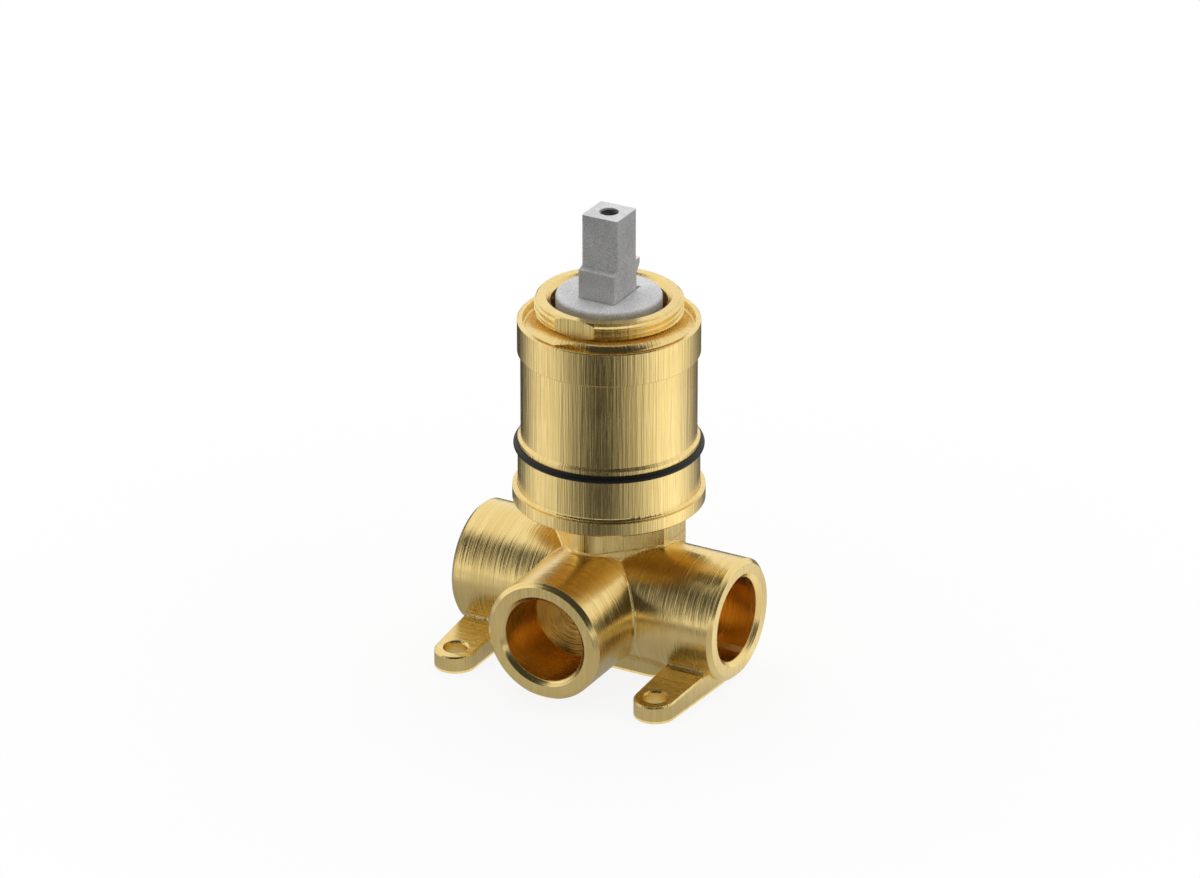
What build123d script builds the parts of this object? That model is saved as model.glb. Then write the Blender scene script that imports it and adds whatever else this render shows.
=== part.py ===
from build123d import *
import os
from math import cos, radians, sin, sqrt, tan

# Concealed mixer valve body for a shower or bath.
# One brass casting holds three plain sockets for 22 mm copper pipe, a foot, two
# fixing lugs and the barrel. A single lever cartridge stands in the barrel under
# a turned brass nut, and its square lever stands out of the top.
# Millimetres. The origin lies on the cartridge axis at the base plane, +Z runs
# along the cartridge, the two inlets lie along X and the outlet points to -Y.

# Pipe sockets of the casting
port_outer_d = 32.2
port_above_base = 0.1
side_port_reach = 38.0
outlet_reach = 35.2
port_edge_bevel = 1.15
pipe_d = 22.0
socket_clearance = 0.2
socket_depth = 17.0
socket_lead_in = 1.25
socket_end_depth = 3.4

# Water passages from the sockets up to the cartridge
passage_d = 8.0
passage_circle_r = 8.5
passage_rise_from_axis = 12.5
passage_start_above_axis = 6.3

# Hub between the sockets and the flange
hub_facet_distance = 12.1
hub_nose_r = 4.8
hub_half_width = 16.4
hub_back_y = 11.0
hub_above_ports = 10.3

# Rounded roots of the casting
socket_root_r = 0.7
foot_root_r = 0.5
lug_root_r = 1.0

# Foot under the hub
foot_half_width = 20.4
foot_front_y = -10.9
foot_height = 8.0
foot_corner_r = 3.0

# Fixing lugs, the size of the right one, and the left one mirrored
lug_hole_behind_side_mouth = 8.9
lug_hole_behind_mouth = 6.6
lug_hole_d = 6.0
lug_hole_bevel = 0.35
lug_tip_r = 5.5
lug_root_behind_mouth = 2.0
lug_root_y = -6.0
lug_tip_height = 4.5
lug_slope_deg = 3.8
lug_edge_bevel = 0.4

# Flange and barrel, outwards from the barrel and upwards from the flange
barrel_wall = 1.9
barrel_height = 22.75
barrel_step = 0.8
barrel_step_height = 0.7
short_band_height = 1.15
ring_groove_width = 1.83
ring_groove_depth = 0.7
barrel_ring_section = 1.78
lower_band_height = 10.82
flange_step = 1.4
flange_height = 3.65
flange_edge_bevel = 0.45
flange_fillet_r = 1.0

# Chamber inside the barrel
chamber_depth = 24.74
chamber_play = 0.2
nut_thread_length = 9.8
nut_thread_clearance = 0.1
thread_relief = 1.0

# Cartridge nut
skirt_play = 0.4
skirt_wall = 2.6
nut_ring_overhang = 0.8
nut_ring_bevel = 0.25
nut_ring_above_ledge = 4.84
nut_rim_width = 1.4
nut_recess_depth = 2.3
nut_recess_fillet = 0.5
recess_floor_width = 0.7
neck_relief_height = 0.3
neck_thread_d = 38.0
neck_thread_depth = 1.3
neck_thread_length = 3.1
neck_outer_bevel_share = 0.2
neck_inner_bevel_share = 0.28
neck_bore_play = 0.25
neck_flat_depth = 0.9
neck_flat_half_width = 7.0

# Cartridge, from the chamber floor upwards
base_lift = 0.6
base_flange_play = 0.4
base_flange_thickness = 1.4
base_plug_play = 0.2
base_plug_height = 3.4
peg_d = 3.8
peg_length = 3.0
peg_clearance = 0.2
peg_x = 7.5
peg_y = 9.5
seal_pocket_wall = 0.62
seal_bore_play = 0.1
base_seal_height = 2.0
seal_pocket_clearance = 0.1
gasket_inset = 0.4
gasket_thickness = 1.0
fixed_disc_d = 30.6
disc_thickness = 3.7
moving_disc_inset = 2.9
moving_disc_offset = 2.2
mixing_pocket_depth = 1.8
kidney_circle_r = 8.6
kidney_width = 4.2
inlet_kidney_half_angle = 18.0
outlet_kidney_half_angle = 26.0
key_notch_width = 3.0
key_notch_depth = 1.2

disc_play = 0.3
housing_wall = 1.9
housing_roof_thickness = 6.0
throat_play = 0.3
collar_wall = 1.2
collar_height = 3.0
snap_window_width = 7.0
snap_window_height = 2.2
snap_window_lift = 0.9
snap_clearance = 0.2
body_ring_groove_lift = 8.0
body_ring_section = 1.2

thrust_ring_play = 0.6
thrust_ring_thickness = 0.8

carrier_lift = 0.2
carrier_plate_height = 3.6
carrier_dog_width = 2.8
carrier_ring_d = 17.0
carrier_ring_section = 1.4
tower_width = 8.0
tower_front_y = -3.9
tower_back_y = 5.0
tower_top_above_foot = 1.4
tower_socket_play = 0.1

# Control head, the part that turns
head_play = 1.3
head_height = 7.8
head_edge_r = 0.8
stem_wall = 2.2
stem_flange_play = 0.4
stem_flange_height = 2.6
stem_guide_height = 6.0
sliding_clearance = 0.15
running_gap = 0.2
head_ring_section = 1.2
seal_ring_play = 0.03
head_ring_below_roof_top = 2.8
bearing_ring_width = 3.1
bearing_ring_height = 1.3
bearing_gap = 0.3
slot_front_play = 0.175
slot_tilt_room = 2.025
stop_gap = 0.2
stop_lug_height = 1.6
stop_lug_half_angle = 64.5
stop_block_half_angle = 65.0
stop_lug_inset = 0.3
limit_ring_wall = 1.3

# Lever and its pin, with heights counted from the pivot
lever_width = 10.15
lever_above_pivot = 25.05
lever_edge_r = 0.5
pivot_below_head_top = 3.0
pin_d = 4.0
pin_recess = 0.55
pin_end_x = 10.0
pin_clearance = 0.05
shoulder_thickness = 1.6
shoulder_above_pivot = 10.6
shoulder_slope_height = 0.7
shoulder_foot_above_pivot = 0.3
barb_reach = 2.05
barb_above_pivot = 11.15
barb_land_height = 1.0
barb_height = 3.6
lever_screw_core_d = 4.2
lever_screw_depth = 11.0
lever_screw_bevel = 0.4
foot_arm = 10.0
foot_ball_d = 5.2
foot_neck_d = 3.6

# Widths that follow from the ceramic discs, outwards to the flange
housing_bore_d = fixed_disc_d + 2 * disc_play
housing_d = housing_bore_d + 2 * housing_wall
chamber_d = housing_d + 2 * chamber_play
base_flange_d = chamber_d - 2 * base_flange_play
base_plug_d = housing_bore_d - 2 * base_plug_play
gasket_d = fixed_disc_d - 2 * gasket_inset
moving_disc_d = fixed_disc_d - 2 * moving_disc_inset
stem_flange_d = housing_bore_d - 2 * stem_flange_play
housing_throat_d = stem_flange_d - 2 * bearing_ring_width
stem_d = housing_throat_d - 2 * throat_play
skirt_bore_d = housing_d + 2 * skirt_play
nut_thread_d = skirt_bore_d + 2 * skirt_wall
thread_bore_d = nut_thread_d + 2 * nut_thread_clearance
barrel_d = thread_bore_d + 2 * barrel_wall
lower_band_d = barrel_d + 2 * barrel_step
flange_d = lower_band_d + 2 * flange_step
nut_ring_d = barrel_d + 2 * nut_ring_overhang

# Widths that follow from the stem, outwards to the neck
stem_bore_d = stem_d - 2 * stem_wall
collar_d = housing_throat_d + 2 * collar_wall
limit_ring_d = collar_d + 2 * limit_ring_wall
stop_lug_d = limit_ring_d - 2 * stop_lug_inset
thrust_ring_bore_d = limit_ring_d + 2 * thrust_ring_play
neck_bore_d = limit_ring_d + 2 * neck_bore_play
head_d = neck_bore_d - 2 * head_play
neck_relief_d = neck_thread_d - 2 * neck_thread_depth
neck_flat_distance = neck_thread_d / 2 - neck_flat_depth
neck_wall = (neck_thread_d - neck_bore_d) / 2
neck_outer_bevel = neck_wall * neck_outer_bevel_share
neck_inner_bevel = neck_wall * neck_inner_bevel_share
recess_wall_r = nut_ring_d / 2 - nut_rim_width
nut_cove_r = recess_wall_r - nut_recess_fillet - recess_floor_width - neck_relief_d / 2

# Heights of the casting
port_r = port_outer_d / 2
port_axis_z = port_r + port_above_base
socket_r = (pipe_d + socket_clearance) / 2
passage_r = passage_d / 2
flange_bottom_z = port_axis_z + port_r + hub_above_ports
flange_top_z = flange_bottom_z + flange_height
ring_groove_z = flange_top_z + lower_band_height
groove_top_z = ring_groove_z + ring_groove_width
short_band_top_z = groove_top_z + short_band_height
barrel_bottom_z = short_band_top_z + barrel_step_height
barrel_top_z = barrel_bottom_z + barrel_height
chamber_floor_z = barrel_top_z - chamber_depth
nut_thread_bottom_z = barrel_top_z - nut_thread_length

# Heights of the cartridge, each piece standing on the one below
base_bottom_z = chamber_floor_z + base_lift
base_shoulder_z = base_bottom_z + base_flange_thickness
base_top_z = base_shoulder_z + base_plug_height
fixed_disc_z = base_top_z + gasket_thickness
moving_disc_z = fixed_disc_z + disc_thickness
carrier_z = moving_disc_z + disc_thickness + carrier_lift
carrier_top_z = carrier_z + carrier_plate_height
stem_bottom_z = carrier_top_z + running_gap
bearing_low_z = stem_bottom_z + stem_flange_height + bearing_gap
roof_z = bearing_low_z + bearing_ring_height
housing_top_z = roof_z + housing_roof_thickness
collar_top_z = housing_top_z + collar_height
thrust_ring_top_z = housing_top_z + thrust_ring_thickness
head_bottom_z = collar_top_z + stop_gap + stop_lug_height
head_top_z = head_bottom_z + head_height

# Heights of the nut above the barrel
nut_ring_top_z = thrust_ring_top_z + nut_ring_above_ledge
recess_floor_z = nut_ring_top_z - nut_recess_depth
cove_top_z = recess_floor_z + nut_cove_r
thread_low_z = cove_top_z + neck_relief_height + neck_thread_depth
thread_top_z = thread_low_z + neck_thread_length
neck_top_z = thread_top_z + neck_outer_bevel

# Heights of the lever
pivot_z = head_top_z - pivot_below_head_top
lever_top_z = pivot_z + lever_above_pivot
shoulder_top_z = pivot_z + shoulder_above_pivot
shoulder_bottom_z = pivot_z + shoulder_foot_above_pivot
barb_top_z = pivot_z + barb_above_pivot
foot_z = pivot_z - foot_arm
tower_top_z = foot_z + tower_top_above_foot
lever_half = lever_width / 2
slot_half_width = lever_half + sliding_clearance
slot_front_y = -lever_half - shoulder_thickness - slot_front_play
slot_back_y = lever_half + slot_tilt_room
foot_socket_r = foot_ball_d / 2 + tower_socket_play
pin_start_x = -head_d / 2 + pin_recess

# Places of the lugs, and the seals that fit between the passages
lug_hole_x = side_port_reach - lug_hole_behind_side_mouth
lug_hole_y = -outlet_reach + lug_hole_behind_mouth
lug_root_x = side_port_reach - lug_root_behind_mouth
neighbour_distance = passage_circle_r * sqrt(2)
base_seal_outer_d = neighbour_distance - seal_pocket_wall - 2 * seal_pocket_clearance
base_seal_bore_d = passage_d + 2 * seal_bore_play

FROM_BELOW = (Align.CENTER, Align.CENTER, Align.MIN)


def rod(diameter, z_low, z_high, x=0.0, y=0.0):
    """A round bar along Z between two heights."""
    return Pos(x, y, z_low) * Cylinder(diameter / 2, z_high - z_low, align=FROM_BELOW)


def tube(outer_d, bore_d, z_low, z_high, x=0.0, y=0.0):
    """A plain ring with a round bore."""
    return rod(outer_d, z_low, z_high, x, y) - rod(bore_d, z_low, z_high, x, y)


def block(x_low, x_high, y_low, y_high, z_low, z_high):
    """A box between two corners."""
    size = (x_high - x_low, y_high - y_low, z_high - z_low)
    corner = (Align.MIN, Align.MIN, Align.MIN)
    return Pos(x_low, y_low, z_low) * Box(*size, align=corner)


def turned(outline):
    """A solid turned about the cartridge axis from an outline of radius and height."""
    return revolve(Plane.XZ * outline, Axis.Z)


def bar_between(diameter, start, end):
    """A round bar from one point to another."""
    run = Vector(*end) - Vector(*start)
    return Plane(origin=start, z_dir=run) * Cylinder(diameter / 2, run.length, align=FROM_BELOW)


def sector(outer_d, bore_d, half_angle, middle_angle, z_low, z_high):
    """Part of a ring, half_angle to each side of the direction middle_angle."""
    reach = outer_d
    spread = [radians(middle_angle + side * half_angle) for side in (-1, -0.5, 0, 0.5, 1)]
    rim = [(reach * cos(a), reach * sin(a)) for a in spread]
    wedge = extrude(Pos(0, 0, z_low) * make_face(Polyline((0, 0), *rim, close=True)), z_high - z_low)
    return tube(outer_d, bore_d, z_low, z_high) & wedge


def kidney(half_angle, middle_angle, z_low, z_high):
    """A curved slot with round ends, for the openings of the ceramic discs."""
    outer_d = 2 * kidney_circle_r + kidney_width
    bore_d = 2 * kidney_circle_r - kidney_width
    slot = sector(outer_d, bore_d, half_angle, middle_angle, z_low, z_high)
    for side in (-1, 1):
        a = radians(middle_angle + side * half_angle)
        end_x = kidney_circle_r * cos(a)
        end_y = kidney_circle_r * sin(a)
        slot += rod(kidney_width, z_low, z_high, end_x, end_y)
    return slot


def round_ring(outer_d, section, z, y=0.0):
    """A rubber ring of round section, given by its outer diameter."""
    return Pos(0, y, z) * Torus(outer_d / 2 - section / 2, section / 2)


# Directions of the sockets: two inlets along X and the outlet towards -Y
PORTS = {"cold": (0, side_port_reach), "hot": (180, side_port_reach), "outlet": (-90, outlet_reach)}


def port_outside(reach):
    """The outside of one socket, pointing to +X, with its bevelled mouth."""
    middle = Plane(origin=(0, 0, port_axis_z), z_dir=(1, 0, 0))
    barrel = middle * Cylinder(port_r, reach, align=FROM_BELOW)
    mouth = barrel.edges().filter_by(GeomType.CIRCLE).sort_by(Axis.X)[-1]
    return chamfer(mouth, port_edge_bevel)


def port_inside(reach):
    """The water way of one socket, pointing to +X, up to the chamber floor."""
    end_x = reach - socket_depth
    lead_r = socket_r + socket_lead_in
    profile = Polyline(
        (end_x - socket_end_depth, 0),
        (end_x, socket_r),
        (reach - socket_lead_in, socket_r),
        (reach, lead_r),
        (reach, 0),
        close=True,
    )
    bore = Pos(0, 0, port_axis_z) * revolve(Plane.XZ * make_face(profile), Axis.X)
    turn = (passage_circle_r, 0, port_axis_z + passage_rise_from_axis)
    start = (end_x, 0, port_axis_z + passage_start_above_axis)
    slanted = bar_between(passage_d, start, turn)
    elbow = Pos(*turn) * Sphere(passage_r)
    riser = rod(passage_d, turn[2], chamber_floor_z, passage_circle_r)
    return bore + slanted + elbow + riser


def hub():
    """The column between the sockets and the flange, with its round nose to -Y."""
    nose_y = -hub_facet_distance * sqrt(2)
    side_y = nose_y + hub_half_width
    outline = make_face(
        Polyline(
            (0, nose_y),
            (hub_half_width, side_y),
            (hub_half_width, hub_back_y),
            (-hub_half_width, hub_back_y),
            (-hub_half_width, side_y),
            close=True,
        )
    )
    nose = outline.vertices().sort_by(Axis.Y)[0]
    outline = fillet(nose, hub_nose_r)
    return extrude(Pos(0, 0, port_axis_z) * outline, flange_bottom_z - port_axis_z)


def foot():
    """The block under the hub that stands on the wall or bench."""
    body = block(-foot_half_width, foot_half_width, foot_front_y, hub_back_y, 0, foot_height)
    return fillet(body.edges().filter_by(Axis.Z), foot_corner_r)


def lug():
    """The right fixing lug: a tongue with a round tip and a slightly rising top."""
    inner_x = lug_hole_x - lug_tip_r
    outer_x = lug_hole_x + lug_tip_r
    sides = Polyline((inner_x, lug_hole_y), (inner_x, 0), (lug_root_x, 0), (lug_root_x, lug_root_y))
    sides += Line((lug_root_x, lug_root_y), (outer_x, lug_hole_y))
    tip = ThreePointArc((outer_x, lug_hole_y), (lug_hole_x, lug_hole_y - lug_tip_r), (inner_x, lug_hole_y))
    plan = extrude(make_face(sides + tip), port_axis_z)
    front_y = lug_hole_y - lug_tip_r
    rise = lug_tip_height - front_y * tan(radians(lug_slope_deg))
    side = make_face(Polyline((front_y, 0), (0, 0), (0, rise), (front_y, lug_tip_height), close=True))
    wedge = extrude(Plane.YZ * side, 2 * lug_root_x, both=True)
    body = plan & wedge
    top = body.faces().sort_by(Axis.Z)[-1]
    rim = [e for e in top.edges() if e.center().Y < lug_root_y]
    return chamfer(rim, lug_edge_bevel)


def lug_hole():
    """The bolt hole of the right lug with a small bevel at its top."""
    top_z = lug_tip_height + lug_tip_r * tan(radians(lug_slope_deg))
    hole = rod(lug_hole_d, 0, port_axis_z, lug_hole_x, lug_hole_y)
    bevel = Pos(lug_hole_x, lug_hole_y, top_z - lug_hole_bevel) * Cone(
        lug_hole_d / 2, lug_hole_d / 2 + 2 * lug_hole_bevel, 2 * lug_hole_bevel, align=FROM_BELOW
    )
    return hole + bevel


def barrel_outside():
    """Flange, bands, ring groove and barrel as one turned outline."""
    flange_r = flange_d / 2
    band_r = lower_band_d / 2
    groove_r = band_r - ring_groove_depth
    barrel_r = barrel_d / 2
    lines = Polyline(
        (band_r, flange_top_z + flange_fillet_r),
        (band_r, ring_groove_z),
        (groove_r, ring_groove_z),
        (groove_r, groove_top_z),
        (band_r, groove_top_z),
        (band_r, short_band_top_z),
        (barrel_r, barrel_bottom_z),
        (barrel_r, barrel_top_z),
        (0, barrel_top_z),
        (0, flange_bottom_z),
        (flange_r - flange_edge_bevel, flange_bottom_z),
        (flange_r, flange_bottom_z + flange_edge_bevel),
        (flange_r, flange_top_z),
        (band_r + flange_fillet_r, flange_top_z),
    )
    dip = flange_fillet_r * (1 - sqrt(0.5))
    foot_arc = ThreePointArc(
        (band_r + flange_fillet_r, flange_top_z),
        (band_r + dip, flange_top_z + dip),
        (band_r, flange_top_z + flange_fillet_r),
    )
    return turned(make_face(lines + foot_arc))


def barrel_inside():
    """The cartridge chamber and the bore that takes the nut's thread."""
    chamber = rod(chamber_d, chamber_floor_z, barrel_top_z)
    thread = rod(thread_bore_d, nut_thread_bottom_z - thread_relief, barrel_top_z)
    return chamber + thread


def peg_places():
    """Where the two locating pegs of the cartridge stand."""
    return [(-peg_x, peg_y), (peg_x, peg_y)]


def roots_in(solid, reach_x, y_low, y_high, z_low, z_high):
    """Edges that lie or slant, with their middle in a box that is the same left and right."""
    found = []
    for edge in solid.edges():
        middle = edge.position_at(0.5)
        lying = abs(edge.tangent_at(0.5).Z) < 0.95
        inside = abs(middle.X) < reach_x and y_low < middle.Y < y_high and z_low < middle.Z < z_high
        if lying and inside:
            found.append(edge)
    return found


def round_roots(solid):
    """Rounds the inner edges where the sockets meet each other, the hub, the foot and the lugs."""
    play = port_above_base
    nose_y = -hub_facet_distance * sqrt(2)
    port_top_z = port_axis_z + port_r
    seams = []
    for edge in solid.edges().filter_by(GeomType.ELLIPSE):
        middle = edge.position_at(0.5)
        if abs(abs(middle.X) + middle.Y) < play and middle.Z > play:
            seams.append(edge)
    crown_low_z = port_axis_z + port_r / 2
    back_y = hub_back_y + play
    crown = roots_in(solid, hub_half_width + play, nose_y, back_y, crown_low_z, port_top_z + play)
    solid = fillet(seams + crown, socket_root_r)
    across = [e for e in solid.edges().filter_by(Axis.X) if abs(e.center().X) > foot_half_width]
    lugs = [e for e in across if e.center().Y < foot_front_y and e.center().Z > lug_tip_height]
    solid = fillet(lugs, lug_root_r)
    front_y = foot_front_y - play
    feet = roots_in(solid, foot_half_width, front_y, foot_front_y + foot_corner_r, play, foot_height)
    return fillet(feet, foot_root_r)


def valve_body():
    """The brass casting with its sockets, passages, chamber, foot and lugs."""
    solid = hub() + foot() + barrel_outside()
    for angle, reach in PORTS.values():
        solid += Rot(0, 0, angle) * port_outside(reach)
    right_lug = lug()
    solid += right_lug
    solid += mirror(right_lug, Plane.YZ)
    solid = round_roots(solid)
    for angle, reach in PORTS.values():
        solid -= Rot(0, 0, angle) * port_inside(reach)
    solid -= barrel_inside()
    peg_hole_d = peg_d + 2 * peg_clearance
    peg_hole_z = base_bottom_z - peg_length - running_gap
    for x, y in peg_places():
        solid -= rod(peg_hole_d, peg_hole_z, chamber_floor_z, x, y)
    hole = lug_hole()
    return solid - hole - mirror(hole, Plane.YZ)


def cartridge_nut():
    """The turned brass nut: skirt, plain ring, recess, cove and neck with two flats."""
    ring_r = nut_ring_d / 2
    floor_r = recess_wall_r - nut_recess_fillet
    relief_r = neck_relief_d / 2
    neck_r = neck_thread_d / 2
    bore_r = neck_bore_d / 2
    skirt_r = skirt_bore_d / 2
    thread_r = nut_thread_d / 2
    outside = Polyline(
        (relief_r, cove_top_z),
        (relief_r, cove_top_z + neck_relief_height),
        (neck_r, thread_low_z),
        (neck_r, thread_top_z),
        (neck_r - neck_outer_bevel, neck_top_z),
        (bore_r + neck_inner_bevel, neck_top_z),
        (bore_r, neck_top_z - neck_inner_bevel),
        (bore_r, thrust_ring_top_z),
        (skirt_r, thrust_ring_top_z),
        (skirt_r, nut_thread_bottom_z),
        (thread_r, nut_thread_bottom_z),
        (thread_r, barrel_top_z),
        (ring_r - nut_ring_bevel, barrel_top_z),
        (ring_r, barrel_top_z + nut_ring_bevel),
        (ring_r, nut_ring_top_z - nut_ring_bevel),
        (ring_r - nut_ring_bevel, nut_ring_top_z),
        (recess_wall_r, nut_ring_top_z),
        (recess_wall_r, recess_floor_z + nut_recess_fillet),
        (floor_r, recess_floor_z),
        (relief_r + nut_cove_r, recess_floor_z),
    )
    dip = nut_cove_r * (1 - sqrt(0.5))
    cove = ThreePointArc(
        (relief_r + nut_cove_r, recess_floor_z),
        (relief_r + dip, recess_floor_z + dip),
        (relief_r, cove_top_z),
    )
    nut = turned(make_face(outside + cove))
    for low, high in ((neck_flat_distance, floor_r), (-floor_r, -neck_flat_distance)):
        cut = block(-neck_flat_half_width, neck_flat_half_width, low, high, recess_floor_z, neck_top_z)
        nut -= cut & rod(2 * floor_r, recess_floor_z, neck_top_z)
    return nut


def cartridge_base():
    """The cartridge's bottom plate with three ports, seal pockets, pegs and snap noses."""
    base = rod(base_flange_d, base_bottom_z, base_shoulder_z)
    base += rod(base_plug_d, base_shoulder_z, base_top_z)
    for x, y in peg_places():
        base += rod(peg_d, base_bottom_z - peg_length, base_bottom_z, x, y)
    nose_z = base_shoulder_z + snap_window_lift + snap_clearance
    nose_top_z = base_shoulder_z + snap_window_lift + snap_window_height - snap_clearance
    nose_x = snap_window_width / 2 - snap_clearance
    nose = block(-nose_x, nose_x, -housing_d, housing_d, nose_z, nose_top_z)
    base += nose & rod(housing_d - 2 * snap_clearance, nose_z, nose_top_z)
    pocket_d = base_seal_outer_d + 2 * seal_pocket_clearance
    pocket_top_z = chamber_floor_z + base_seal_height
    for angle, _ in PORTS.values():
        port = rod(passage_d, base_bottom_z, base_top_z, passage_circle_r)
        port += rod(pocket_d, base_bottom_z, pocket_top_z, passage_circle_r)
        base -= Rot(0, 0, angle) * port
    return base


def base_seal(angle):
    """One of the three seals between the casting and the cartridge."""
    top_z = chamber_floor_z + base_seal_height
    seal = tube(base_seal_outer_d, base_seal_bore_d, chamber_floor_z, top_z, passage_circle_r)
    return Rot(0, 0, angle) * seal


def disc_openings(z_low, z_high):
    """The two inlet slots and the outlet slot of the fixed disc."""
    slots = kidney(outlet_kidney_half_angle, -90, z_low, z_high)
    for angle in (0, 180):
        slots += kidney(inlet_kidney_half_angle, angle, z_low, z_high)
    return slots


def disc_gasket():
    """The rubber gasket under the fixed disc, open where the disc is open."""
    top_z = base_top_z + gasket_thickness
    return rod(gasket_d, base_top_z, top_z) - disc_openings(base_top_z, top_z)


def fixed_disc():
    """The lower ceramic disc, keyed so that it can't turn."""
    disc = rod(fixed_disc_d, fixed_disc_z, moving_disc_z) - disc_openings(fixed_disc_z, moving_disc_z)
    edge = fixed_disc_d / 2
    half = key_notch_width / 2
    notch = block(-half, half, edge - key_notch_depth, edge, fixed_disc_z, moving_disc_z)
    return disc - notch - mirror(notch, Plane.XZ)


def moving_disc():
    """The upper ceramic disc, with the mixing pocket in its underside."""
    top_z = moving_disc_z + disc_thickness
    disc = rod(moving_disc_d, moving_disc_z, top_z, 0, moving_disc_offset)
    pocket_top_z = moving_disc_z + mixing_pocket_depth
    half_stem = kidney_width / 2 + sliding_clearance
    cap_low = moving_disc_offset + half_stem
    cap_high = cap_low + kidney_width
    pocket = block(-half_stem, half_stem, -kidney_circle_r, cap_high, moving_disc_z, pocket_top_z)
    pocket += block(-kidney_circle_r, kidney_circle_r, cap_low, cap_high, moving_disc_z, pocket_top_z)
    notch_low = top_z - key_notch_depth
    half = key_notch_width / 2
    edge = moving_disc_d / 2
    for side in (-1, 1):
        low, high = sorted((side * (edge - 2 * key_notch_depth), side * moving_disc_d))
        disc -= block(low, high, moving_disc_offset - half, moving_disc_offset + half, notch_low, top_z)
    return disc - pocket


def disc_carrier():
    """The plastic carrier that drives the moving disc from the lever's foot."""
    carrier = rod(moving_disc_d, carrier_z, carrier_top_z, 0, moving_disc_offset)
    half = tower_width / 2
    tower = block(-half, half, tower_front_y, tower_back_y, carrier_top_z, tower_top_z)
    carrier += fillet(tower.edges().filter_by(Axis.Z), lever_edge_r)
    dog_low = carrier_z - carrier_lift - key_notch_depth + sliding_clearance
    dog_front_y = moving_disc_offset - carrier_dog_width / 2
    dog_back_y = moving_disc_offset + carrier_dog_width / 2
    edge = moving_disc_d / 2
    for side in (-1, 1):
        low, high = sorted((side * (edge - 2 * key_notch_depth + sliding_clearance), side * edge))
        dog = block(low, high, dog_front_y, dog_back_y, dog_low, carrier_z)
        carrier += dog & rod(moving_disc_d, dog_low, carrier_z, 0, moving_disc_offset)
    ring_top_z = moving_disc_z + disc_thickness + carrier_ring_section
    bore_d = carrier_ring_d - 2 * carrier_ring_section
    carrier -= tube(carrier_ring_d, bore_d, carrier_z, ring_top_z, 0, moving_disc_offset)
    socket_bottom_z = foot_z - foot_ball_d / 2 - running_gap
    return carrier - rod(2 * foot_socket_r, socket_bottom_z, tower_top_z)


def cartridge_housing():
    """The plastic housing of the cartridge, open below, with a collar on its roof."""
    housing = rod(housing_d, base_shoulder_z, housing_top_z) + rod(collar_d, housing_top_z, collar_top_z)
    housing -= rod(housing_bore_d, base_shoulder_z, roof_z)
    housing -= rod(housing_throat_d, roof_z, collar_top_z)
    groove_z = base_shoulder_z + body_ring_groove_lift
    groove_d = body_ring_d() - 2 * body_ring_section
    housing -= tube(housing_d, groove_d, groove_z - body_ring_section / 2, groove_z + body_ring_section / 2)
    window_z = base_shoulder_z + snap_window_lift
    half = snap_window_width / 2
    window = block(-half, half, -housing_d, housing_d, window_z, window_z + snap_window_height)
    return housing - window


def body_ring_d():
    """Outer diameter of the rubber ring round the housing, just inside the chamber."""
    return chamber_d - 2 * seal_ring_play


def limit_ring():
    """The hot limit ring around the collar, with the stop block at its back."""
    ring = tube(limit_ring_d, collar_d + running_gap, housing_top_z, collar_top_z)
    block_top_z = head_bottom_z - stop_gap
    stop = sector(limit_ring_d, stem_d + 2 * stop_gap, stop_block_half_angle, 90, collar_top_z, block_top_z)
    return ring + stop


def control_head():
    """The head that turns: disc, stem, slide way for the carrier and lever slot."""
    head = rod(head_d, head_bottom_z, head_top_z)
    rim = head.edges().filter_by(GeomType.CIRCLE).sort_by(Axis.Z)[-1]
    head = fillet(rim, head_edge_r)
    flange_top = stem_bottom_z + stem_flange_height
    head += rod(stem_d, stem_bottom_z, head_bottom_z) + rod(stem_flange_d, stem_bottom_z, flange_top)
    lug_low_z = head_bottom_z - stop_lug_height
    head += sector(stop_lug_d, stem_bore_d, stop_lug_half_angle, -90, lug_low_z, head_bottom_z)
    guide_top_z = stem_bottom_z + stem_guide_height
    head -= rod(stem_bore_d, guide_top_z, head_bottom_z)
    half = tower_width / 2 + sliding_clearance
    guide = block(-half, half, -stem_bore_d, stem_bore_d, stem_bottom_z, guide_top_z)
    head -= guide & rod(stem_bore_d, stem_bottom_z, guide_top_z)
    head -= block(-slot_half_width, slot_half_width, slot_front_y, slot_back_y, head_bottom_z, head_top_z)
    groove_z = housing_top_z - head_ring_below_roof_top
    groove_d = stem_ring_d() - 2 * head_ring_section
    half_section = head_ring_section / 2
    head -= tube(stem_d, groove_d, groove_z - half_section, groove_z + half_section)
    return head - bar_between(pin_d, (-head_d / 2, 0, pivot_z), (pin_end_x, 0, pivot_z))


def stem_ring_d():
    """Outer diameter of the rubber ring on the stem, just inside the throat."""
    return housing_throat_d - 2 * seal_ring_play


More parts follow.
